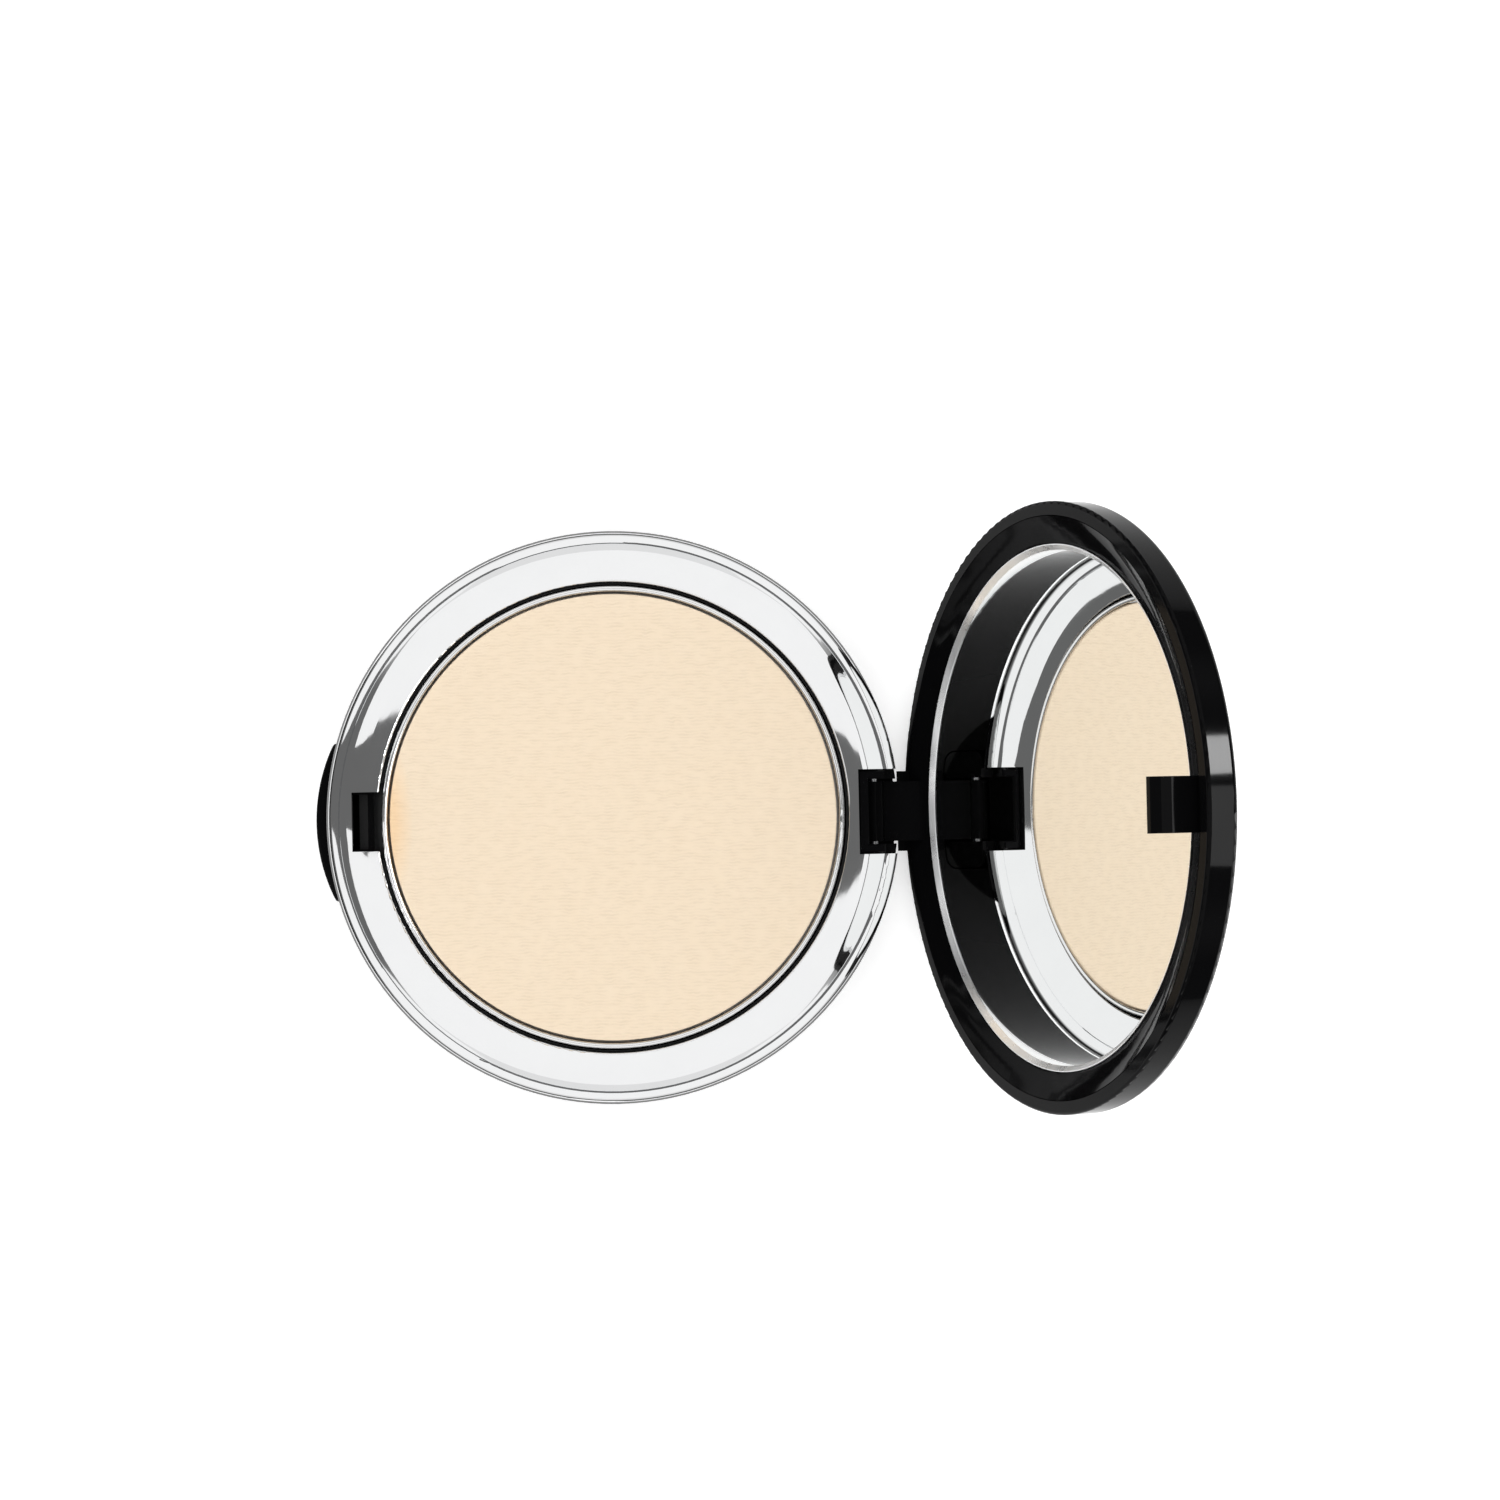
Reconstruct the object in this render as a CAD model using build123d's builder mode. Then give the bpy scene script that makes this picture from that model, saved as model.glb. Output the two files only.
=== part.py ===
"""Round powder compact, open: base with a pressed-powder pan, chrome ring and push-button latch,
and a mirrored lid on a pin hinge.

Millimetres. The base lies flat on z = 0, centred on the Z axis. The hinge is at the back (+Y) and
the button at the front (-Y). The lid's pieces are drawn in the closed position, on planes that
in_lid() swings open about the hinge pin.
"""

import os
from math import sqrt

from build123d import *

# ---- driving dimensions -------------------------------------------------------------------------
OUTER_R = 36.5  # the compact is 73 mm across
RING_Z = 13.2  # height of the chrome ring's face, which is the top of the base
PAN_R = 29.42  # nominal 59 mm godet
POWDER_R = 28.35
LID_RIM_Z = RING_Z - 0.35  # the lid's rim plane when closed
LID_SIDE_H = 3.97  # height of the lid's side wall
LID_OPEN = 112.0  # degrees from closed to the stop
HINGE_Y = 33.41
HINGE_Z = RING_Z - 6.31

# ---- base shell ---------------------------------------------------------------------------------
WALL = 1.5
FLOOR_TOP = 1.8
SHELL_TOP = RING_Z - 2.75
SHELL_IN_R = OUTER_R - WALL
FOOT_FILLET = 1.4
LABEL_R = 27.0
LABEL_T = 0.2  # set flush into its recess, so the underside is one flat face
CLEAR = 0.15  # assembly gap between fixed pieces

# ---- chrome ring --------------------------------------------------------------------------------
RING_IN_R = 29.88
FACE_TILT = 0.04  # slope of the domed face beside its inner bead
FACE_MID_R = 32.2  # the dome rounds over more tightly beyond this radius
FACE_MID_Z = RING_Z - 0.17
FACE_OUT_R = 34.45  # where the face ends in a fine groove
FACE_OUT_Z = RING_Z - 1.0
GROOVE_R = 34.83
LIP_BOTTOM = RING_Z - 2.65
SKIRT_IN_R = 33.95
SKIRT_OUT_R = SHELL_IN_R - CLEAR
SKIRT_BOTTOM = RING_Z - 5.7
RING_UNDER = RING_Z - 1.25
RING_INNER_W = 1.0  # the thicker wall at the ring's inner edge
RING_INNER_BOTTOM = RING_Z - 1.6
RING_BEAD_R = 0.2
LIP_EDGE_Z = RING_Z - 2.05
GROOVE_DEPTH = 0.32
WINDOW_W = 7.5
WINDOW_OUT_Y = 33.1

# ---- inner tray, pan and powder -----------------------------------------------------------------
TRAY_FLOOR_TOP = RING_Z - 5.5
TRAY_FLOOR_T = 1.1
TRAY_BOTTOM = TRAY_FLOOR_TOP - TRAY_FLOOR_T
TRAY_WALL_IN_R = PAN_R + 0.25
TRAY_WALL_OUT_R = TRAY_WALL_IN_R + 0.6
TRAY_WALL_TOP = RING_Z - 2.1
TRAY_FLANGE_R = 33.6
EJECT_HOLE_R = 2.5
RIB_R = 20.0  # ring of ribs under the tray
RIB_T = 1.2
RIB_TOP = TRAY_BOTTOM - 0.05
RIBS = 8
RIB_WEB_L = RIB_R - 4
GLUE_T = 0.2
GLUE_DOT_R = 3.0
GLUE_PCD = 34.0
GLUE_DOTS = 6
PAN_BOTTOM = TRAY_FLOOR_TOP + GLUE_T
PAN_FLOOR_T = 0.35
PAN_IN_R = 28.68
PAN_TOP = RING_Z - 0.45
PAN_CORNER = 0.6
POWDER_TOP = RING_Z - 0.63
POWDER_BOTTOM = PAN_BOTTOM + PAN_FLOOR_T + 0.02
POWDER_EDGE = 0.25
POWDER_CROWN = 0.12  # the pressed face stands this much higher in the middle

# ---- hinge --------------------------------------------------------------------------------------
PIN_R = 0.6
PIN_L = 14.6
PIN_BORE_R = 0.65  # running fit in the lid's lug
BLOCK_W = 10.6
BLOCK_BASE_W = 15.2
BLOCK_BACK_Y = 31.25
BLOCK_TOP = RING_Z - 0.7
BLOCK_SHOULDER = RING_Z - 3.3
BLOCK_OUT_R = OUTER_R - 0.15
BLOCK_KNUCKLE_R = 4.0  # the lid's rear tab passes just outside this radius about the pin
BLOCK_CREST_Y = 34.55
SLOT_W = 8.3
SLOT_BACK_Y = 32.45
LUG_W = 7.7
LUG_FRONT_Y = 32.75
LUG_BACK_Y = 34.4
BOSS_R = 1.42
BOSS_CLEAR_R = 1.72
POCKET_W = 15.5
POCKET_FLOOR = RING_Z - 9.6
POCKET_BACK_Y = 31.15
POCKET_CORNER = 1.5
BAY_WALL = 0.7
BAY_HALF_W = POCKET_W / 2 + WALL
BAY_CLEAR_W = 2 * BAY_HALF_W + 0.4  # gap that the tray and the ring's skirt leave for the bay
NOTCH_W = BLOCK_W + 0.2
BLOCK_BOTTOM = POCKET_FLOOR + 0.05

# ---- latch --------------------------------------------------------------------------------------
BUTTON_W = 20.2
BUTTON_Z0 = 4.3
BUTTON_Z1 = 9.7
BUTTON_CORNER = 0.9
BUTTON_FRONT_Y = 38.0
BUTTON_END_Y = 35.62
BUTTON_BACK_Y = 34.3
BUTTON_GAP = 0.25
RISER_STOP_Y = 32.7  # how far in the tray's flange leaves the way free
WEB_Z0 = 9.5
WEB_Z1 = 10.6
WEB_W = 9.4
WEB_WAY_W = WEB_W + 0.6  # way for the slide through the tray
RISER_FRONT_Y = 34.55
CATCH_FRONT_Y = 33.95
CATCH_EDGE_Y = 31.3  # the edge that holds the tooth
CATCH_BAR_Y = 30.6
CATCH_SLOT_W = 7.0
LEG_W = 4.4
LEG_Z0 = 4.4
LEG_Z1 = 6.0
LEG_END_Y = 31.0
PEG_R = 0.8
PEG_L = 1.8
SPRING_Z = 4.9
SPRING_R = 1.2  # to the middle of the wire
SPRING_WIRE_R = 0.17
SPRING_TURNS = 6
SPRING_END_Y = 25.3
SEAT_T = 1.2
SEAT_W = 5.0
RAIL_W = 1.0
RAIL_GAP = 0.15

# ---- lid ----------------------------------------------------------------------------------------
LID_TOP_Z = LID_RIM_Z + LID_SIDE_H
LID_CROWN = 0.55
LID_FLAT_R = 6.0  # the middle of the crown is flat out to here
LID_CEILING = LID_TOP_Z - 0.67
LID_WALL_IN_R = 34.85
LID_RIM_FILLET = 0.4
LID_EDGE_FILLET = 0.8
FRAME_OUT_R = LID_WALL_IN_R - 0.1
FRAME_STEP_R = 31.8
FRAME_IN_R = 31.55
FRAME_SLOPE_H = 1.25
MIRROR_R = 31.45
MIRROR_FRONT = LID_RIM_Z + 1.58
MIRROR_T = 1.3
MIRROR_ARRIS = 0.15
BEZEL_IN_R = 30.75
BEZEL_OUT_R = 31.45
BEZEL_H = 0.55
BEZEL_LAND = 0.12
TAPE_R = 29.5
TAPE_GAP = 0.03
TAB_W = BLOCK_W - 0.2  # rear tab that closes the hinge opening behind the block
TAB_OUT_Y = 36.1
TAB_LOW_Z = LID_RIM_Z - 1.8
TAB_REAR_Z = LID_RIM_Z - 1.05
TOOTH_W = 6.2
TOOTH_OUT_Y = 32.8
TOOTH_IN_Y = 31.7
NOSE_Y = 30.95
TOOTH_TIP = RING_Z - 4.95
NOSE_TOP = WEB_Z0 - 0.1
TOOTH_BEVEL_1 = 2.3  # length of the two lead-in facets, measured up from the tip
TOOTH_BEVEL_2 = 1.1

hinge = Pos(0, HINGE_Y, HINGE_Z)
swing = hinge * Rot(X=-LID_OPEN) * hinge.inverse()
hinge_plane = Plane.YZ.offset(-PIN_L / 2)


def in_lid(plane):
    """A plane of the closed lid, carried round the hinge pin to the open position."""
    return Plane(swing * plane.location)


lid_top = in_lid(Plane.XY)
lid_axis = Axis(lid_top.origin, lid_top.z_dir)
lid_section = in_lid(Plane.XZ)
lid_side = in_lid(Plane.YZ)

# ---- base_shell: glossy outer moulding ----------------------------------------------------------
with BuildPart() as base_shell:
    with BuildSketch(Plane.XZ):
        with BuildLine():
            foot = Polyline((0, LABEL_T), (LABEL_R, LABEL_T), (LABEL_R, 0), (OUTER_R - FOOT_FILLET, 0))
            corner = TangentArc(foot @ 1, (OUTER_R, FOOT_FILLET), tangent=(1, 0))
            Polyline(
                corner @ 1,
                (OUTER_R, SHELL_TOP),
                (SHELL_IN_R, SHELL_TOP),
                (SHELL_IN_R, FLOOR_TOP),
                (0, FLOOR_TOP),
                (0, LABEL_T),
            )
        make_face()
    revolve(axis=Axis.Z)
    # rib ring and webs that carry the tray
    with BuildSketch(Plane.XY.offset(FLOOR_TOP)):
        Circle(RIB_R)
        Circle(RIB_R - RIB_T, mode=Mode.SUBTRACT)
        with PolarLocations(RIB_R - RIB_WEB_L / 2, RIBS, start_angle=180 / RIBS):
            Rectangle(RIB_WEB_L, RIB_T)
    extrude(amount=RIB_TOP - FLOOR_TOP)
    # walled bay for the hinge block
    with BuildSketch(Plane.XY.offset(FLOOR_TOP)):
        with Locations((0, OUTER_R)):
            Rectangle(2 * BAY_HALF_W, 2 * (OUTER_R - POCKET_BACK_Y + BAY_WALL))
        Circle(SHELL_IN_R + WALL / 2, mode=Mode.INTERSECT)
    extrude(amount=SHELL_TOP - CLEAR - FLOOR_TOP)
    # spring seat
    with Locations((0, -SPRING_END_Y + SEAT_T / 2, FLOOR_TOP)):
        Box(SEAT_W, SEAT_T, RIB_TOP - FLOOR_TOP, align=(Align.CENTER, Align.CENTER, Align.MIN))
    # pocket for the hinge block, open at the back and the top
    with BuildSketch(Plane.XZ.offset(-POCKET_BACK_Y)):
        with Locations((0, POCKET_FLOOR)):
            RectangleRounded(POCKET_W, RING_Z * 2, POCKET_CORNER, align=(Align.CENTER, Align.MIN))
    extrude(amount=-(OUTER_R - POCKET_BACK_Y + WALL), mode=Mode.SUBTRACT)
    # opening for the button
    with BuildSketch(Plane.XZ.offset(SHELL_IN_R - 3)):
        with Locations((0, (BUTTON_Z0 + BUTTON_Z1) / 2)):
            RectangleRounded(
                BUTTON_W + 2 * BUTTON_GAP, BUTTON_Z1 - BUTTON_Z0 + 2 * BUTTON_GAP, BUTTON_CORNER
            )
    extrude(amount=2 * WALL + 3, mode=Mode.SUBTRACT)

# ---- inner_tray: black tray that the pan is glued into ------------------------------------------
with BuildPart() as inner_tray:
    with BuildSketch(Plane.XY.offset(TRAY_BOTTOM)):
        Circle(TRAY_FLANGE_R)
        # clear of the hinge bay at the back and of the button at the front
        with Locations((0, TRAY_FLANGE_R)):
            Rectangle(BAY_CLEAR_W, 2 * (TRAY_FLANGE_R - TRAY_WALL_OUT_R), mode=Mode.SUBTRACT)
        with Locations((0, -TRAY_FLANGE_R)):
            Rectangle(WEB_WAY_W, 2 * (TRAY_FLANGE_R - RISER_STOP_Y), mode=Mode.SUBTRACT)
    extrude(amount=TRAY_FLOOR_T)
    with BuildSketch(Plane.XY.offset(TRAY_BOTTOM)):
        Circle(TRAY_WALL_OUT_R)
        Circle(TRAY_WALL_IN_R, mode=Mode.SUBTRACT)
    extrude(amount=TRAY_WALL_TOP - TRAY_BOTTOM)
    with Locations((0, 0, TRAY_BOTTOM)):
        Cylinder(EJECT_HOLE_R, 3 * TRAY_FLOOR_T, mode=Mode.SUBTRACT)
    # way through the wall for the catch bar, and a rail on each side of its slide
    with Locations((0, -TRAY_WALL_IN_R, WEB_Z0 - 1)):
        Box(WEB_WAY_W, 4, RING_Z, align=(Align.CENTER, Align.CENTER, Align.MIN), mode=Mode.SUBTRACT)
    rail_x = WEB_W / 2 + RAIL_GAP + RAIL_W / 2
    with Locations((-rail_x, -TRAY_WALL_OUT_R, TRAY_BOTTOM), (rail_x, -TRAY_WALL_OUT_R, TRAY_BOTTOM)):
        Box(RAIL_W, 2.6, WEB_Z1 - TRAY_BOTTOM, align=(Align.CENTER, Align.MAX, Align.MIN))

# ---- pan_glue: dots of adhesive under the pan ---------------------------------------------------
with BuildPart() as pan_glue:
    with BuildSketch(Plane.XY.offset(TRAY_FLOOR_TOP)):
        with PolarLocations(GLUE_PCD / 2, GLUE_DOTS):
            Circle(GLUE_DOT_R)
    extrude(amount=GLUE_T)

# ---- powder_pan: pressed tinplate pan with a rounded rim ----------------------------------------
with BuildPart() as powder_pan:
    with BuildSketch(Plane.XZ):
        with BuildLine():
            rim_r = (PAN_R - PAN_IN_R) / 2
            base_line = Line((0, PAN_BOTTOM), (PAN_R - PAN_CORNER, PAN_BOTTOM))
            heel = TangentArc(base_line @ 1, (PAN_R, PAN_BOTTOM + PAN_CORNER), tangent=(1, 0))
            side = Line(heel @ 1, (PAN_R, PAN_TOP - rim_r))
            rim = ThreePointArc(side @ 1, (PAN_R - rim_r, PAN_TOP), (PAN_IN_R, PAN_TOP - rim_r))
            Polyline(
                rim @ 1, (PAN_IN_R, PAN_BOTTOM + PAN_FLOOR_T), (0, PAN_BOTTOM + PAN_FLOOR_T), (0, PAN_BOTTOM)
            )
        make_face()
    revolve(axis=Axis.Z)

# ---- pressed_powder: cake with a softened edge and a very slight crown --------------------------
with BuildPart() as pressed_powder:
    with BuildSketch(Plane.XZ):
        with BuildLine():
            cake = Polyline(
                (0, POWDER_TOP + POWDER_CROWN),
                (0, POWDER_BOTTOM),
                (POWDER_R, POWDER_BOTTOM),
                (POWDER_R, POWDER_TOP - POWDER_EDGE),
            )
            edge = TangentArc(cake @ 1, (POWDER_R - POWDER_EDGE, POWDER_TOP), tangent=(0, 1))
            TangentArc(cake @ 0, edge @ 1, tangent=(1, 0))
        make_face()
    revolve(axis=Axis.Z)

# ---- chrome_ring: plated ring with a domed face, a fine groove and a rolled lip -----------------
with BuildPart() as chrome_ring:
    with BuildSketch(Plane.XZ):
        with BuildLine():
            inner = Line((RING_IN_R, RING_INNER_BOTTOM), (RING_IN_R, RING_Z - RING_BEAD_R))
            bead = TangentArc(inner @ 1, (RING_IN_R + RING_BEAD_R, RING_Z), tangent=(0, 1))
            face = TangentArc(bead @ 1, (FACE_MID_R, FACE_MID_Z), tangent=(1, -FACE_TILT))
            shoulder = TangentArc(face @ 1, (FACE_OUT_R, FACE_OUT_Z), tangent=face % 1)
            groove = Polyline(
                shoulder @ 1,
                (GROOVE_R - 0.08, FACE_OUT_Z - GROOVE_DEPTH / 2),
                (GROOVE_R, FACE_OUT_Z - GROOVE_DEPTH),
                (GROOVE_R + 0.1, FACE_OUT_Z - 0.14),
            )
            lip = ThreePointArc(groove @ 1, (36.0, FACE_OUT_Z - 0.42), (OUTER_R, LIP_EDGE_Z))
            Polyline(
                lip @ 1,
                (OUTER_R, LIP_BOTTOM),
                (SKIRT_OUT_R, LIP_BOTTOM),
                (SKIRT_IN_R, RING_Z - 2.3),
                (SKIRT_IN_R - 0.55, RING_Z - 1.75),
                (RING_IN_R + RING_INNER_W, RING_UNDER),
                (RING_IN_R + RING_INNER_W, RING_INNER_BOTTOM),
                (RING_IN_R, RING_INNER_BOTTOM),
            )
        make_face()
    revolve(axis=Axis.Z)
    # skirt inside the shell's wall, stopping short of the hinge bay and of the button
    with BuildSketch(Plane.XY.offset(SKIRT_BOTTOM)):
        Circle(SKIRT_OUT_R)
        Circle(SKIRT_IN_R, mode=Mode.SUBTRACT)
        with Locations((0, OUTER_R)):
            Rectangle(BAY_CLEAR_W, OUTER_R, mode=Mode.SUBTRACT)
        with Locations((0, -OUTER_R)):
            Rectangle(BUTTON_W + 1.6, OUTER_R, mode=Mode.SUBTRACT)
    extrude(amount=LIP_BOTTOM - SKIRT_BOTTOM + 0.5)
    # room over the catch slide
    with Locations((0, -WINDOW_OUT_Y - 1.6, LIP_BOTTOM - 1)):
        Box(
            WEB_W + 0.4,
            4,
            WEB_Z1 + CLEAR - LIP_BOTTOM + 1,
            align=(Align.CENTER, Align.MIN, Align.MIN),
            mode=Mode.SUBTRACT,
        )
    # notch for the hinge block, open at the back
    with Locations((0, POCKET_BACK_Y, 0)):
        Box(
            NOTCH_W,
            OUTER_R,
            3 * RING_Z,
            align=(Align.CENTER, Align.MIN, Align.CENTER),
            mode=Mode.SUBTRACT,
        )
    # window that the lid's tooth drops through
    with Locations((0, -WINDOW_OUT_Y, 0)):
        Box(
            WINDOW_W,
            WINDOW_OUT_Y - RING_IN_R + 1,
            2 * RING_Z,
            align=(Align.CENTER, Align.MIN, Align.CENTER),
            mode=Mode.SUBTRACT,
        )

# ---- hinge_block: black U-shaped knuckle that drops into the shell's pocket ---------------------
with BuildPart() as hinge_block:
    with BuildSketch(Plane.YZ.offset(-BLOCK_W / 2)):
        with BuildLine():
            rear_z = HINGE_Z + sqrt(BLOCK_KNUCKLE_R**2 - (BLOCK_OUT_R - HINGE_Y) ** 2)
            crest_z = HINGE_Z + sqrt(BLOCK_KNUCKLE_R**2 - (BLOCK_CREST_Y - HINGE_Y) ** 2)
            outline = Polyline(
                (BLOCK_OUT_R, rear_z),
                (BLOCK_OUT_R, BLOCK_BOTTOM),
                (BLOCK_BACK_Y, BLOCK_BOTTOM),
                (BLOCK_BACK_Y, BLOCK_TOP),
                (BLOCK_CREST_Y, BLOCK_TOP),
                (BLOCK_CREST_Y, crest_z),
            )
            RadiusArc(outline @ 1, outline @ 0, BLOCK_KNUCKLE_R)
        make_face()
    extrude(amount=BLOCK_W)
    with BuildSketch(Plane.XZ.offset(-BLOCK_BACK_Y)):
        with Locations((0, BLOCK_BOTTOM)):
            RectangleRounded(
                BLOCK_BASE_W, BLOCK_SHOULDER - POCKET_FLOOR, POCKET_CORNER, align=(Align.CENTER, Align.MIN)
            )
    extrude(amount=-(BLOCK_OUT_R - BLOCK_BACK_Y))
    Cylinder(BLOCK_OUT_R, 4 * RING_Z, mode=Mode.INTERSECT)
    # slot for the lid's lug, relieved round its boss
    with Locations((0, SLOT_BACK_Y, 0)):
        Box(SLOT_W, OUTER_R, 4 * RING_Z, align=(Align.CENTER, Align.MIN, Align.CENTER), mode=Mode.SUBTRACT)
    with BuildSketch(Plane.YZ.offset(-SLOT_W / 2)):
        with Locations((HINGE_Y, HINGE_Z)):
            Circle(BOSS_CLEAR_R)
    extrude(amount=SLOT_W, mode=Mode.SUBTRACT)
    with BuildSketch(hinge_plane):
        with Locations((HINGE_Y, HINGE_Z)):
            Circle(PIN_R + 0.01)
    extrude(amount=PIN_L, mode=Mode.SUBTRACT)
    top_face = hinge_block.faces().filter_by(Axis.Z).sort_by(Axis.Z)[-1]
    chamfer(top_face.outer_wire().edges(), length=0.2)

# ---- hinge_pin ----------------------------------------------------------------------------------
with BuildPart() as hinge_pin:
    with BuildSketch(hinge_plane):
        with Locations((HINGE_Y, HINGE_Z)):
            Circle(PIN_R)
    extrude(amount=PIN_L)
    chamfer(hinge_pin.edges().filter_by(GeomType.CIRCLE), length=0.15)

# ---- bottom_label: blank round label in the recess under the base -------------------------------
with BuildPart() as bottom_label:
    with BuildSketch(Plane.XY.offset(LABEL_T)):
        Circle(LABEL_R - CLEAR)
    extrude(amount=-LABEL_T)

# ---- push_button: thumb plate, catch slide and spring leg in one moulding -----------------------
with BuildPart() as push_button:
    with BuildSketch(Plane.XY.offset(BUTTON_Z0)):
        with BuildLine():
            half = BUTTON_W / 2
            front = ThreePointArc((-half, -BUTTON_END_Y), (0, -BUTTON_FRONT_Y), (half, -BUTTON_END_Y))
            Line(front @ 1, (half, -BUTTON_BACK_Y))
            back = ThreePointArc((half, -BUTTON_BACK_Y), (0, -BUTTON_BACK_Y - 1.3), (-half, -BUTTON_BACK_Y))
            Line(back @ 1, front @ 0)
        make_face()
    extrude(amount=BUTTON_Z1 - BUTTON_Z0)
    with BuildSketch(Plane.XZ.offset(BUTTON_BACK_Y - 1)):
        with Locations((0, (BUTTON_Z0 + BUTTON_Z1) / 2)):
            RectangleRounded(BUTTON_W, BUTTON_Z1 - BUTTON_Z0, BUTTON_CORNER)
    extrude(amount=BUTTON_FRONT_Y, mode=Mode.INTERSECT)
    front_face = push_button.faces().filter_by(GeomType.CYLINDER).sort_by(Axis.Y)[0]
    fillet(front_face.edges(), radius=0.3)
    # riser behind the plate, up to the catch slide
    with Locations((0, -CATCH_FRONT_Y, BUTTON_Z0 + 0.1)):
        Box(
            WEB_W,
            RISER_FRONT_Y - CATCH_FRONT_Y,
            WEB_Z1 - BUTTON_Z0 - 0.1,
            align=(Align.CENTER, Align.MAX, Align.MIN),
        )
    with Locations((0, -RISER_FRONT_Y, BUTTON_Z0 + 0.6)):
        Box(
            WEB_W - 1,
            1.4,
            BUTTON_Z1 - BUTTON_Z0 - 1.2,
            align=(Align.CENTER, Align.MAX, Align.MIN),
        )
    with Locations((0, -CATCH_BAR_Y, WEB_Z0)):
        Box(
            WEB_W,
            CATCH_FRONT_Y - CATCH_BAR_Y,
            WEB_Z1 - WEB_Z0,
            align=(Align.CENTER, Align.MAX, Align.MIN),
        )
    with Locations((0, -CATCH_EDGE_Y, WEB_Z0)):
        Box(
            CATCH_SLOT_W,
            CATCH_FRONT_Y - CATCH_EDGE_Y,
            3,
            align=(Align.CENTER, Align.MAX, Align.CENTER),
            mode=Mode.SUBTRACT,
        )
    # leg under the tray, with a peg inside the spring
    with Locations((0, -LEG_END_Y, LEG_Z0)):
        Box(
            LEG_W,
            CATCH_FRONT_Y - LEG_END_Y + 0.2,
            LEG_Z1 - LEG_Z0,
            align=(Align.CENTER, Align.MAX, Align.MIN),
        )
    with BuildSketch(Plane.XZ.offset(LEG_END_Y)):
        with Locations((0, SPRING_Z)):
            Circle(PEG_R)
    extrude(amount=-PEG_L)

# ---- latch_spring: compression coil between the leg and its seat --------------------------------
spring_l = LEG_END_Y - SPRING_END_Y - 2 * SPRING_WIRE_R - 0.06
spring_start = (0, -LEG_END_Y + SPRING_WIRE_R + 0.03, SPRING_Z)
with BuildPart() as latch_spring:
    with BuildLine():
        coil = Helix(
            pitch=spring_l / SPRING_TURNS,
            height=spring_l,
            radius=SPRING_R,
            center=spring_start,
            direction=(0, 1, 0),
        )
    with BuildSketch(Plane(origin=coil @ 0, z_dir=coil % 0)):
        Circle(SPRING_WIRE_R)
    sweep(path=coil, is_frenet=True)

# ---- lid_shell: glossy outer cap of the lid -----------------------------------------------------
with BuildPart() as lid_shell:
    with BuildSketch(lid_section):
        with BuildLine():
            rim_line = Line((LID_WALL_IN_R, LID_RIM_Z), (OUTER_R - LID_RIM_FILLET, LID_RIM_Z))
            rim_edge = TangentArc(rim_line @ 1, (OUTER_R, LID_RIM_Z + LID_RIM_FILLET), tangent=(1, 0))
            wall = Line(rim_edge @ 1, (OUTER_R, LID_TOP_Z - LID_EDGE_FILLET))
            top_edge = TangentArc(wall @ 1, (OUTER_R - LID_EDGE_FILLET, LID_TOP_Z), tangent=(0, 1))
            crown = TangentArc((LID_FLAT_R, LID_TOP_Z + LID_CROWN), top_edge @ 1, tangent=(1, 0))
            Polyline(
                crown @ 0,
                (0, LID_TOP_Z + LID_CROWN),
                (0, LID_CEILING),
                (LID_WALL_IN_R, LID_CEILING),
                rim_line @ 0,
            )
        make_face()
    revolve(axis=lid_axis)
    # rear tab over the hinge
    with BuildSketch(lid_side):
        with BuildLine():
            Polyline(
                (LID_WALL_IN_R, TAB_LOW_Z),
                (TAB_OUT_Y, TAB_REAR_Z),
                (TAB_OUT_Y, LID_RIM_Z + 0.6),
                (LID_WALL_IN_R, LID_RIM_Z + 0.6),
                close=True,
            )
        make_face()
    extrude(amount=TAB_W / 2, both=True)

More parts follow.
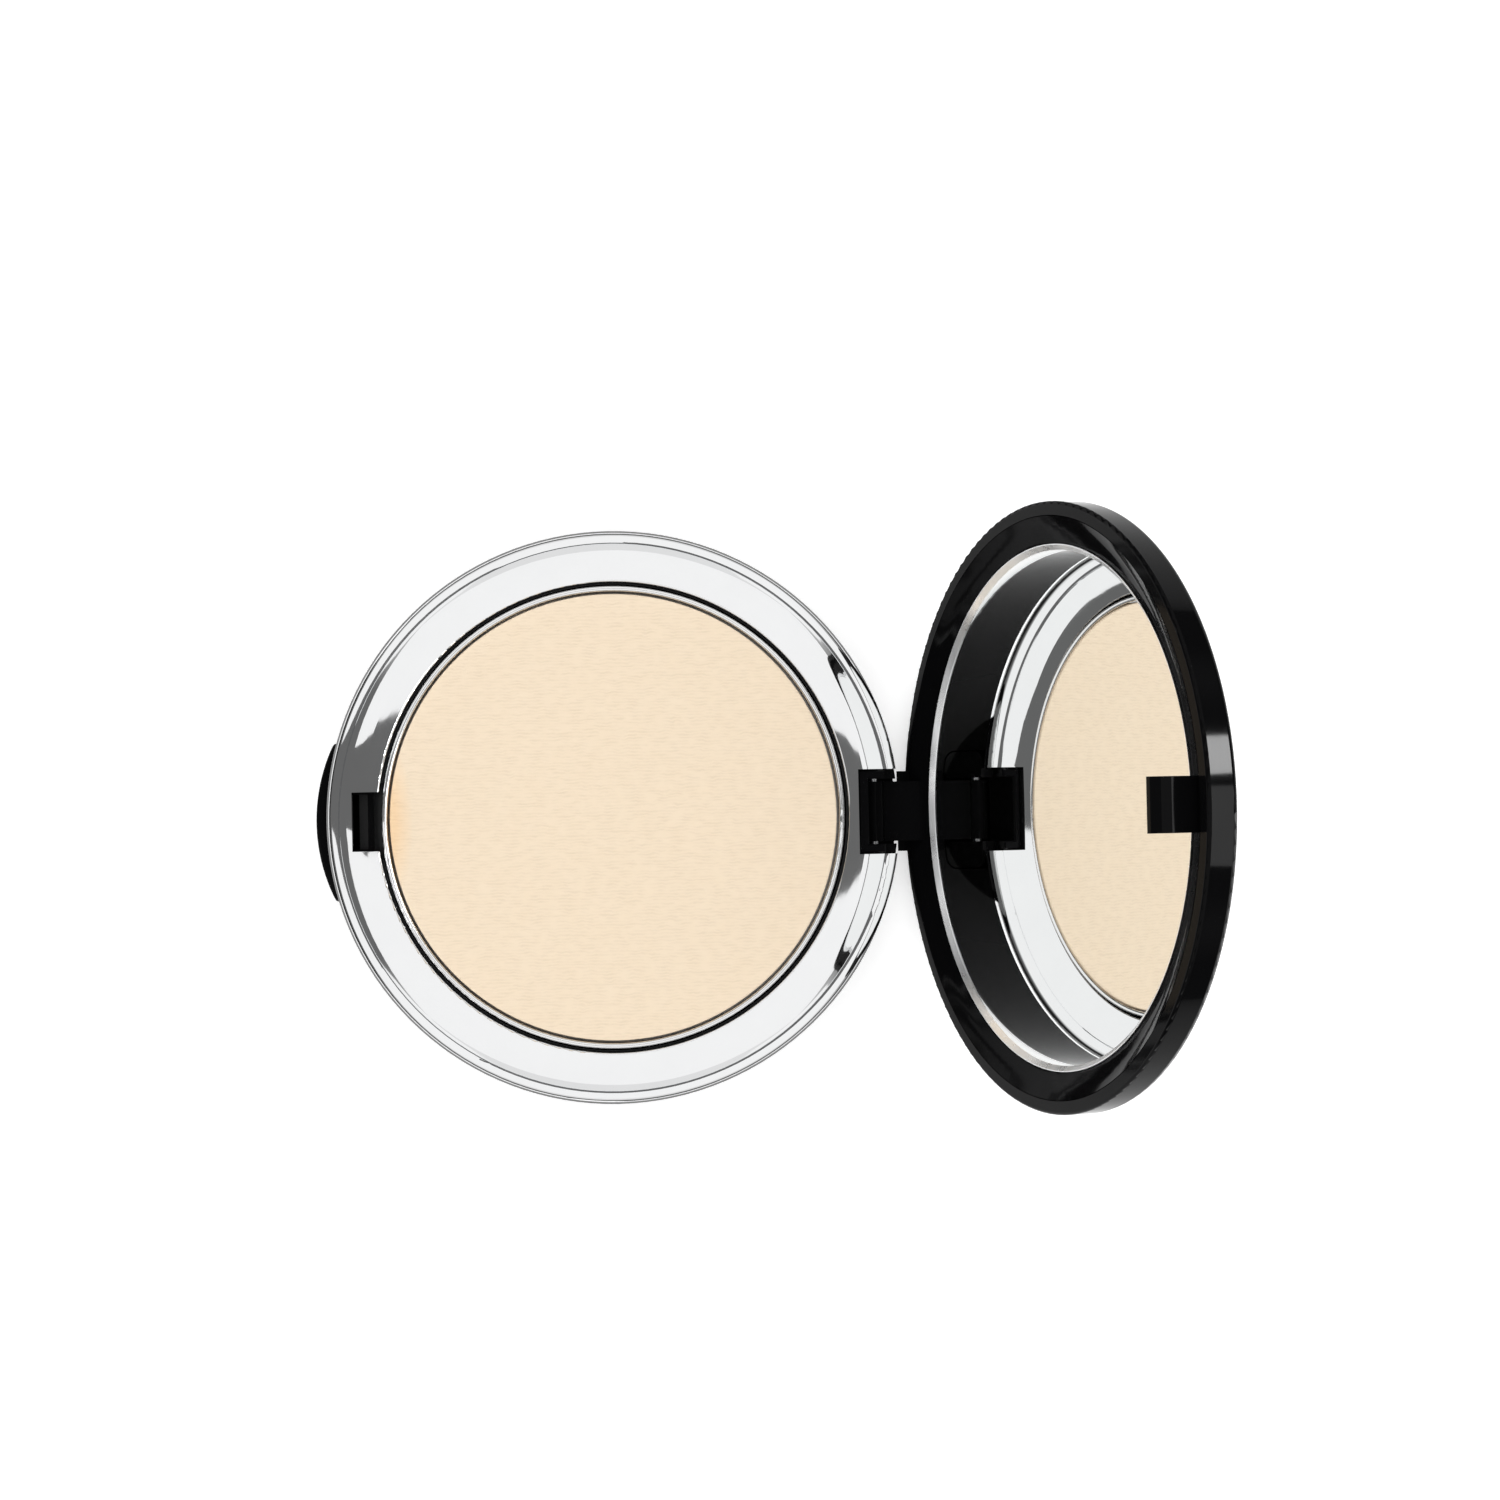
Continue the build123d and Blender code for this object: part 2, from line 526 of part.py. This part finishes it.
# ---- mirror_frame: inner moulding of the lid, with the hinge lug and the latch tooth ------------
with BuildPart() as mirror_frame:
    with BuildSketch(lid_section):
        with BuildLine():
            slope = ThreePointArc(
                (FRAME_OUT_R, LID_RIM_Z),
                ((FRAME_OUT_R + FRAME_STEP_R) / 2, LID_RIM_Z + FRAME_SLOPE_H * 0.58),
                (FRAME_STEP_R, LID_RIM_Z + FRAME_SLOPE_H),
            )
            Polyline(
                slope @ 1,
                (FRAME_IN_R, LID_RIM_Z + FRAME_SLOPE_H + 0.05),
                (FRAME_IN_R, LID_CEILING - 0.02),
                (FRAME_OUT_R, LID_CEILING - 0.02),
                slope @ 0,
            )
        make_face()
    revolve(axis=lid_axis)
    # lug and its boss
    with BuildSketch(lid_side):
        with Locations((HINGE_Y, HINGE_Z)):
            Circle(BOSS_R)
        with BuildLine():
            Polyline(
                (LUG_FRONT_Y, HINGE_Z),
                (LUG_BACK_Y, HINGE_Z),
                (LUG_BACK_Y, LID_RIM_Z + 1.2),
                (LUG_FRONT_Y, LID_RIM_Z + 1.2),
                (LUG_FRONT_Y, HINGE_Z),
            )
        make_face()
        with Locations((HINGE_Y, HINGE_Z)):
            Circle(PIN_BORE_R, mode=Mode.SUBTRACT)
    extrude(amount=LUG_W / 2, both=True)
    # tooth with two lead-in facets outside and the catch nose inside
    with BuildSketch(lid_side):
        with BuildLine():
            Polyline(
                (-TOOTH_OUT_Y, LID_RIM_Z + 1.2),
                (-TOOTH_OUT_Y, TOOTH_TIP + TOOTH_BEVEL_1),
                (-TOOTH_OUT_Y + 0.22, TOOTH_TIP + TOOTH_BEVEL_2),
                (-TOOTH_OUT_Y + 0.75, TOOTH_TIP),
                (-NOSE_Y - 0.4, TOOTH_TIP),
                (-NOSE_Y, TOOTH_TIP + 0.4),
                (-NOSE_Y, NOSE_TOP - 0.15),
                (-TOOTH_IN_Y, NOSE_TOP),
                (-TOOTH_IN_Y, LID_RIM_Z + 1.8),
                (-TOOTH_OUT_Y, LID_RIM_Z + 1.2),
            )
        make_face()
    extrude(amount=TOOTH_W / 2, both=True)

# ---- mirror_glass: round mirror with a fine arris ------------------------------------------------
with BuildPart() as mirror_glass:
    with BuildSketch(in_lid(Plane.XY.offset(MIRROR_FRONT))):
        Circle(MIRROR_R)
    extrude(amount=MIRROR_T)
    chamfer(mirror_glass.edges().filter_by(GeomType.CIRCLE), length=MIRROR_ARRIS)

# ---- mirror_bezel: bright ring on the mirror's edge, with its chamfer facing inward --------------
with BuildPart() as mirror_bezel:
    with BuildSketch(lid_section):
        with BuildLine():
            Polyline(
                (BEZEL_IN_R, MIRROR_FRONT),
                (BEZEL_IN_R, MIRROR_FRONT - BEZEL_LAND / 2),
                (BEZEL_OUT_R - BEZEL_LAND, MIRROR_FRONT - BEZEL_H),
                (BEZEL_OUT_R, MIRROR_FRONT - BEZEL_H),
                (BEZEL_OUT_R, MIRROR_FRONT),
                close=True,
            )
        make_face()
    revolve(axis=lid_axis)

# ---- mirror_tape: double-sided disc that holds the mirror in the lid ----------------------------
with BuildPart() as mirror_tape:
    with BuildSketch(in_lid(Plane.XY.offset(MIRROR_FRONT + MIRROR_T + TAPE_GAP))):
        Circle(TAPE_R)
    extrude(amount=LID_CEILING - MIRROR_FRONT - MIRROR_T - 2 * TAPE_GAP)

# ---- write one STEP per piece -------------------------------------------------------------------
pieces = {
    "base_shell": base_shell,
    "inner_tray": inner_tray,
    "pan_glue": pan_glue,
    "powder_pan": powder_pan,
    "pressed_powder": pressed_powder,
    "chrome_ring": chrome_ring,
    "hinge_block": hinge_block,
    "hinge_pin": hinge_pin,
    "bottom_label": bottom_label,
    "push_button": push_button,
    "latch_spring": latch_spring,
    "lid_shell": lid_shell,
    "mirror_frame": mirror_frame,
    "mirror_glass": mirror_glass,
    "mirror_bezel": mirror_bezel,
    "mirror_tape": mirror_tape,
}
os.makedirs("parts", exist_ok=True)
for name, piece in pieces.items():
    piece.part.label = name
    export_step(piece.part, f"parts/{name}.step")
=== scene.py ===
import math

import bpy
from mathutils import Matrix, Vector


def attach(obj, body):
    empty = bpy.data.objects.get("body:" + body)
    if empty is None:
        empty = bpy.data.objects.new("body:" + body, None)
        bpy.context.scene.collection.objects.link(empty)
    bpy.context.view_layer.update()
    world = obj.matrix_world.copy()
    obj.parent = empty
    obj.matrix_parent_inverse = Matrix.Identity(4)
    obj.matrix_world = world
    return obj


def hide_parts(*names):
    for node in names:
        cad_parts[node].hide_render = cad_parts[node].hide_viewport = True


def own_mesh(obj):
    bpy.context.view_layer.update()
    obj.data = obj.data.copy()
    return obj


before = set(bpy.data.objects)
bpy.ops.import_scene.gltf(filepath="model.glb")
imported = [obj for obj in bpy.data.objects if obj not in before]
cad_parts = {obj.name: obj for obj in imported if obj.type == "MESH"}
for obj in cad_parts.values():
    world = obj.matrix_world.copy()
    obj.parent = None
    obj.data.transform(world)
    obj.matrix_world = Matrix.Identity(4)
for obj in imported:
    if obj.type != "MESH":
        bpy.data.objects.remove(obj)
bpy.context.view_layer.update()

MM = 0.001
scene = bpy.context.scene

# ---------------------------------------------------------------- camera

CAMERA_PLACE = Vector((0.0005, 0.0075, 0.3737))
CAMERA_BACK = Vector((0.0239, -0.0276, 0.9993))
CAMERA_UP = Vector((-0.9995, 0.0201, 0.0245))
CAMERA_LENS = 68.2
CAMERA_SENSOR = 36.0


def make_camera():
    data = bpy.data.cameras.new("camera")
    data.lens = CAMERA_LENS
    data.sensor_width = CAMERA_SENSOR
    data.clip_start = 0.01
    camera = bpy.data.objects.new("camera", data)
    back = CAMERA_BACK.normalized()
    right = CAMERA_UP.cross(back).normalized()
    up = back.cross(right)
    turn = Matrix((right, up, back)).transposed().to_4x4()
    camera.matrix_world = Matrix.Translation(CAMERA_PLACE) @ turn
    scene.collection.objects.link(camera)
    scene.camera = camera


make_camera()

# ---------------------------------------------------------------- node helpers


class Tree:
    """A material's node tree, with short calls that add a node and join it up."""

    def __init__(self, name):
        self.material = bpy.data.materials.new(name)
        self.material.use_nodes = True
        self.nodes = self.material.node_tree.nodes
        self.links = self.material.node_tree.links
        self.shader = self.nodes["Principled BSDF"]
        self.place = self.add("TexCoord").outputs["Object"]

    def add(self, kind, inputs=None, **settings):
        node = self.nodes.new("ShaderNode" + kind)
        for key, value in settings.items():
            setattr(node, key, value)
        for key, value in (inputs or {}).items():
            self.put(node.inputs[key], value)
        return node

    def put(self, socket, value):
        if isinstance(value, bpy.types.NodeSocket):
            self.links.new(value, socket)
        else:
            socket.default_value = value

    def set(self, **values):
        """Sets sockets of the shader; an underscore in a name stands for a space."""
        for key, value in values.items():
            self.put(self.shader.inputs[key.replace("_", " ")], value)

    def stretched(self, x=1.0, y=1.0, z=1.0):
        return self.add("Mapping", {"Vector": self.place, "Scale": (x, y, z)}).outputs["Vector"]

    def noise(self, size, detail=3.0, rough=0.5, where=None, distortion=0.0):
        """Noise whose features are about `size` metres across."""
        inputs = {
            "Vector": where or self.place,
            "Scale": 1.0 / size,
            "Detail": detail,
            "Roughness": rough,
            "Distortion": distortion,
        }
        return self.add("TexNoise", inputs).outputs["Fac"]

    def spread(self, value, low, high, to_low=0.0, to_high=1.0):
        inputs = {
            "Value": value,
            "From Min": low,
            "From Max": high,
            "To Min": to_low,
            "To Max": to_high,
        }
        return self.add("MapRange", inputs).outputs["Result"]

    def math(self, operation, a, b=0.0):
        node = self.add("Math", operation=operation)
        self.put(node.inputs[0], a)
        self.put(node.inputs[1], b)
        return node.outputs["Value"]

    def mix(self, amount, a, b):
        node = self.add("Mix", data_type="RGBA")
        self.put(node.inputs["Factor"], amount)
        self.put(node.inputs["A"], a)
        self.put(node.inputs["B"], b)
        return node.outputs["Result"]

    def bump(self, height, depth, below=None):
        """Bump from a height that runs 0 to 1, where 1 is `depth` metres."""
        node = self.add("Bump", {"Height": height, "Distance": depth, "Strength": 1.0})
        if below is not None:
            self.put(node.inputs["Normal"], below)
        return node.outputs["Normal"]


def dress(node_names, material):
    for name in node_names:
        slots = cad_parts[name].material_slots
        for slot in slots:
            slot.material = material


def colour(r, g, b):
    return (r, g, b, 1.0)


# ---------------------------------------------------------------- materials


def gloss_black():
    tree = Tree("gloss_black")
    peel = tree.noise(1.6 * MM, detail=1.0)
    flow = tree.noise(14 * MM, detail=1.0)
    normal = tree.bump(flow, 0.03 * MM)
    normal = tree.bump(peel, 0.0008 * MM, below=normal)
    haze = tree.noise(9 * MM, detail=6.0, rough=0.7)
    dust = tree.spread(tree.noise(0.35 * MM, detail=2.0), 0.72, 0.78)
    tree.set(
        Base_Color=tree.mix(dust, colour(0.003, 0.003, 0.0033), colour(0.01, 0.01, 0.011)),
        Roughness=tree.spread(haze, 0.3, 0.7, 0.045, 0.085),
        Specular_IOR_Level=0.055,
        Normal=normal,
    )
    return tree.material


def black_moulding():
    tree = Tree("black_moulding")
    grain = tree.noise(0.18 * MM, detail=3.0, rough=0.6)
    flow = tree.noise(5 * MM, detail=2.0)
    tree.set(
        Base_Color=tree.mix(flow, colour(0.008, 0.008, 0.009), colour(0.016, 0.016, 0.017)),
        Roughness=tree.spread(grain, 0.3, 0.7, 0.26, 0.4),
        Specular_IOR_Level=0.3,
        Normal=tree.bump(grain, 0.004 * MM),
    )
    return tree.material


RING_SHADE_EDGE_R = 36.2 * MM  # where the ring's lip turns down; beyond it lies a dark line of painted shade
RING_SHADE_BLUR = 0.08 * MM
RING_SHADE_Z = (10.85 * MM, 11.05 * MM)


def plated(name, rough, shade_edge_r=None):
    """Bright plating; beyond the given radius, where its top face rolls down, a dark grey line of
    painted shade goes into its colour.
    """
    tree = Tree(name)
    wave = tree.noise(11 * MM, detail=1.0)
    ripple = tree.noise(2.5 * MM, detail=1.0)
    normal = tree.bump(wave, 0.05 * MM)
    normal = tree.bump(ripple, 0.0015 * MM, below=normal)
    haze = tree.noise(6 * MM, detail=6.0, rough=0.7)
    tone = tree.mix(haze, colour(0.88, 0.885, 0.89), colour(0.93, 0.935, 0.94))
    if shade_edge_r:
        flat = tree.add("VectorMath", {"Vector": tree.stretched(z=0.0)}, operation="LENGTH")
        shade_beyond_edge = tree.spread(
            flat.outputs["Value"], shade_edge_r - RING_SHADE_BLUR, shade_edge_r + RING_SHADE_BLUR
        )
        height = tree.add("SeparateXYZ", {"Vector": tree.place}).outputs["Z"]
        shade_on_top = tree.spread(height, *RING_SHADE_Z)
        # painted shade: dark grey mixed into the colour on the lip's top beyond the edge radius
        tone = tree.mix(tree.math("MULTIPLY", shade_beyond_edge, shade_on_top), tone, colour(0.12, 0.12, 0.12))
    tree.set(
        Base_Color=tone,
        Metallic=1.0,
        Roughness=tree.spread(haze, 0.35, 0.65, rough, 1.8 * rough),
        Normal=normal,
    )
    return tree.material


def tinplate():
    tree = Tree("tinplate")
    drawn = tree.noise(0.25 * MM, detail=3.0, where=tree.stretched(z=0.2))
    haze = tree.noise(4 * MM, detail=4.0)
    tree.set(
        Base_Color=tree.mix(haze, colour(0.84, 0.84, 0.84), colour(0.92, 0.92, 0.915)),
        Metallic=1.0,
        Roughness=tree.spread(drawn, 0.3, 0.7, 0.1, 0.18),
        Normal=tree.bump(drawn, 0.0015 * MM),
    )
    return tree.material


THREAD_PITCH = 0.42 * MM  # of the cloth that the powder was pressed through
WARM_PATCH_Y = -28.6 * MM  # a darker patch at the cake's edge beside the latch
WARM_PATCH_STRETCH = 0.3


def powder():
    tree = Tree("pressed_powder")
    weave = tree.add(
        "TexWave",
        {
            "Vector": tree.place,
            "Scale": math.tau / (20 * THREAD_PITCH),
            "Distortion": 5.0,
            "Detail": 2.0,
            "Detail Scale": 1.1,
        },
        bands_direction="X",
    )
    broken = tree.spread(tree.noise(0.7 * MM, detail=2.0, where=tree.stretched(y=0.4)), 0.35, 0.65)
    rib = tree.math("MULTIPLY", weave.outputs["Fac"], broken)
    grain = tree.noise(0.12 * MM, detail=4.0, rough=0.7)
    blotch = tree.noise(2.2 * MM, detail=3.0, rough=0.6)
    tint = tree.mix(blotch, colour(0.915, 0.757, 0.567), colour(0.925, 0.776, 0.596))
    # darker and warmer towards the cake's edge beside the latch
    warm_patch = tree.add("VectorMath", operation="DISTANCE")
    tree.put(warm_patch.inputs[0], tree.stretched(x=WARM_PATCH_STRETCH, z=0.0))
    warm_patch.inputs[1].default_value = (0.0, WARM_PATCH_Y, 0.0)
    warmth = tree.spread(warm_patch.outputs["Value"], 1.0 * MM, 3.2 * MM, 0.75, 0.0)
    tint = tree.mix(warmth, tint, colour(0.95, 0.66, 0.38))
    lit = tree.mix(rib, colour(1.0, 1.0, 1.0), colour(0.925, 0.918, 0.91))
    shade = tree.add("Mix", data_type="RGBA", blend_type="MULTIPLY")
    tree.put(shade.inputs["Factor"], 1.0)
    tree.put(shade.inputs["A"], tint)
    tree.put(shade.inputs["B"], lit)
    normal = tree.bump(rib, -0.02 * MM)
    normal = tree.bump(grain, 0.012 * MM, below=normal)
    tree.set(
        Base_Color=shade.outputs["Result"],
        Roughness=0.9,
        Specular_IOR_Level=0.2,
        Sheen_Weight=0.05,
        Normal=normal,
    )
    return tree.material


def silvered_glass():
    tree = Tree("mirror")
    dust = tree.spread(tree.noise(0.3 * MM, detail=2.0), 0.74, 0.8)
    tree.set(
        Base_Color=tree.mix(dust, colour(0.95, 0.96, 0.955), colour(0.84, 0.85, 0.85)),
        Metallic=1.0,
        Roughness=tree.spread(dust, 0.0, 1.0, 0.004, 0.05),
    )
    return tree.material


def label_paper():
    tree = Tree("label_paper")
    fibre = tree.noise(0.3 * MM, detail=5.0, rough=0.7, where=tree.stretched(x=0.4))
    tree.set(
        Base_Color=tree.mix(fibre, colour(0.74, 0.74, 0.72), colour(0.86, 0.86, 0.84)),
        Roughness=0.55,
        Normal=tree.bump(fibre, 0.006 * MM),
    )
    return tree.material


def adhesive_tape():
    tree = Tree("tape")
    weave = tree.noise(0.5 * MM, detail=4.0, rough=0.7)
    tree.set(
        Base_Color=tree.mix(weave, colour(0.72, 0.71, 0.66), colour(0.85, 0.84, 0.8)),
        Roughness=0.6,
        Normal=tree.bump(weave, 0.01 * MM),
    )
    return tree.material


def hot_melt():
    tree = Tree("glue")
    flow = tree.noise(2 * MM, detail=2.0)
    tree.set(
        Base_Color=tree.mix(flow, colour(0.74, 0.7, 0.58), colour(0.84, 0.81, 0.7)),
        Roughness=0.3,
        Subsurface_Weight=0.1,
        Subsurface_Radius=(0.002, 0.0015, 0.001),
        Normal=tree.bump(flow, 0.15 * MM),
    )
    return tree.material


def drawn_steel(name, shine):
    tree = Tree(name)
    lines = tree.noise(0.08 * MM, detail=3.0, where=tree.stretched(x=0.05))
    tree.set(
        Base_Color=tree.mix(lines, colour(0.5, 0.5, 0.51), colour(0.66, 0.66, 0.67)),
        Metallic=1.0,
        Roughness=tree.spread(lines, 0.3, 0.7, shine, shine + 0.14),
        Normal=tree.bump(lines, 0.002 * MM),
    )
    return tree.material


dress(["base_shell", "push_button", "lid_shell", "mirror_frame", "hinge_block"], gloss_black())
dress(["inner_tray"], black_moulding())
dress(["chrome_ring"], plated("plated_chrome", 0.03, shade_edge_r=RING_SHADE_EDGE_R))
dress(["mirror_bezel"], plated("satin_chrome", 0.22))
dress(["powder_pan"], tinplate())
dress(["pressed_powder"], powder())
dress(["mirror_glass"], silvered_glass())
dress(["bottom_label"], label_paper())
dress(["mirror_tape"], adhesive_tape())
dress(["pan_glue"], hot_melt())
dress(["hinge_pin"], drawn_steel("pin_steel", 0.2))
dress(["latch_spring"], drawn_steel("spring_steel", 0.26))

# ---------------------------------------------------------------- spring


def make_spring():
    """A copy of the latch spring, with a mesh of its own, that moves with the base in place of the
    hidden original.
    """
    coil = bpy.data.objects.new("spring_coil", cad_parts["latch_spring"].data.copy())
    scene.collection.objects.link(coil)
    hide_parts("latch_spring")
    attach(coil, "base")
    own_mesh(coil)


make_spring()

# ---------------------------------------------------------------- floor, light and world

FLOOR_HALF = 3.0
PANEL_HEIGHT = 0.8
PANEL_GLOW = 0.95
SOFTBOXES = {  # place, width and glow; the fills are kept out of the reflections
    "fill_left": ((-0.6, 0.0, 0.5), 0.3, 4.4),
    "fill_right": ((0.6, 0.0, 0.5), 0.3, 4.4),
}
RIM_LIGHTS = {  # seen only as highlights on glossy surfaces
    "rim_key": ((-0.185, 0.62, 0.45), 0.14, 70.0),
    "rim_fade": ((0.08, 0.62, 0.45), 0.3, 6.5),
}
PANELS = {  # outlines; the gap between them stays dark, and the camera looks down through it
    "panel_left": ((-0.07, 1.1), (-1.3, 1.1), (-1.3, -1.3), (-0.37, -1.3), (-0.07, -0.12)),
    "panel_right": (
        (1.3, 1.1),
        (0.07, 1.1),
        (0.07, -0.04),
        (0.02, -0.08),
        (0.02, -1.3),
        (1.3, -1.3),
    ),
    "panel_back": ((0.07, 1.1), (-0.07, 1.1), (-0.07, 0.29), (0.07, 0.29)),
}
# the world's brightness is the product of two ramps, each with two (place, tone) stops
SIDE_TONES = ((0.42, 0.14), (0.75, 0.8))  # by how far a direction leans to either side
SKYLINE_TONES = ((0.18, 0.12), (0.4, 1.0))  # by its height above the horizon
BACKDROP = 0.9  # what shows behind the floor


def make_floor():
    mesh = bpy.data.meshes.new("floor")
    h = FLOOR_HALF
    mesh.from_pydata([(-h, -h, 0), (h, -h, 0), (h, h, 0), (-h, h, 0)], [], [(0, 1, 2, 3)])
    floor = bpy.data.objects.new("floor", mesh)
    scene.collection.objects.link(floor)
    tree = Tree("floor")
    tone = tree.noise(0.12, detail=2.0)
    tree.set(
        Base_Color=tree.mix(tone, colour(0.9, 0.9, 0.9), colour(0.93, 0.93, 0.93)),
        Roughness=0.6,
        Specular_IOR_Level=0.2,
        Emission_Color=colour(1.0, 1.0, 1.0),
        Emission_Strength=0.48,
    )
    mesh.materials.append(tree.material)


def panel(name, outline):
    """A flat diffusing panel overhead, lit evenly, that faces down."""
    mesh = bpy.data.meshes.new(name)
    mesh.from_pydata([(x, y, PANEL_HEIGHT) for x, y in outline], [], [range(len(outline))])
    sheet = bpy.data.objects.new(name, mesh)
    scene.collection.objects.link(sheet)
    tree = Tree(name)
    tree.set(
        Base_Color=colour(0.02, 0.02, 0.02),
        Specular_IOR_Level=0.0,
        Emission_Color=colour(1.0, 1.0, 1.0),
        Emission_Strength=PANEL_GLOW,
    )
    mesh.materials.append(tree.material)


def softbox(name, place, width, glow):
    """A softbox aimed at the object, `glow` times as bright as the white of the picture."""
    data = bpy.data.lights.new(name, "AREA")
    data.shape = "SQUARE"
    data.size = width
    data.energy = glow * math.pi * width**2
    light = bpy.data.objects.new(name, data)
    turn = Vector(place).normalized().to_track_quat("Z", "Y").to_matrix().to_4x4()
    light.matrix_world = Matrix.Translation(place) @ turn
    scene.collection.objects.link(light)
    return light


def make_world():
    """A studio dome: bright at both sides, grey in front and behind, dark along the horizon."""
    world = bpy.data.worlds.new("studio")
    world.use_nodes = True
    nodes = world.node_tree.nodes
    links = world.node_tree.links
    direction = nodes.new("ShaderNodeTexCoord")
    split = nodes.new("ShaderNodeSeparateXYZ")
    links.new(direction.outputs["Generated"], split.inputs["Vector"])
    across = nodes.new("ShaderNodeMath")
    across.operation = "ABSOLUTE"
    links.new(split.outputs["X"], across.inputs[0])
    product = nodes.new("ShaderNodeMath")
    product.operation = "MULTIPLY"
    sources = (across.outputs["Value"], split.outputs["Z"])
    for source, tones, factor in zip(sources, (SIDE_TONES, SKYLINE_TONES), product.inputs):
        ramp = nodes.new("ShaderNodeValToRGB")
        ramp.color_ramp.interpolation = "EASE"
        for element, (place, tone) in zip(ramp.color_ramp.elements, tones):
            element.position = place
            element.color = (tone, tone, tone, 1.0)
        links.new(source, ramp.inputs["Fac"])
        links.new(ramp.outputs["Color"], factor)
    links.new(product.outputs["Value"], nodes["Background"].inputs["Color"])
    backdrop = nodes.new("ShaderNodeBackground")
    backdrop.inputs["Color"].default_value = colour(BACKDROP, BACKDROP, BACKDROP)
    seen = nodes.new("ShaderNodeLightPath").outputs["Is Camera Ray"]
    choice = nodes.new("ShaderNodeMixShader")
    links.new(seen, choice.inputs["Fac"])
    links.new(nodes["Background"].outputs["Background"], choice.inputs[1])
    links.new(backdrop.outputs["Background"], choice.inputs[2])
    links.new(choice.outputs["Shader"], nodes["World Output"].inputs["Surface"])
    scene.world = world


make_floor()
make_world()
for name, outline in PANELS.items():
    panel(name, outline)
for name, setting in SOFTBOXES.items():
    softbox(name, *setting).visible_glossy = False
for name, setting in RIM_LIGHTS.items():
    softbox(name, *setting).visible_diffuse = False
scene.view_settings.view_transform = "Standard"
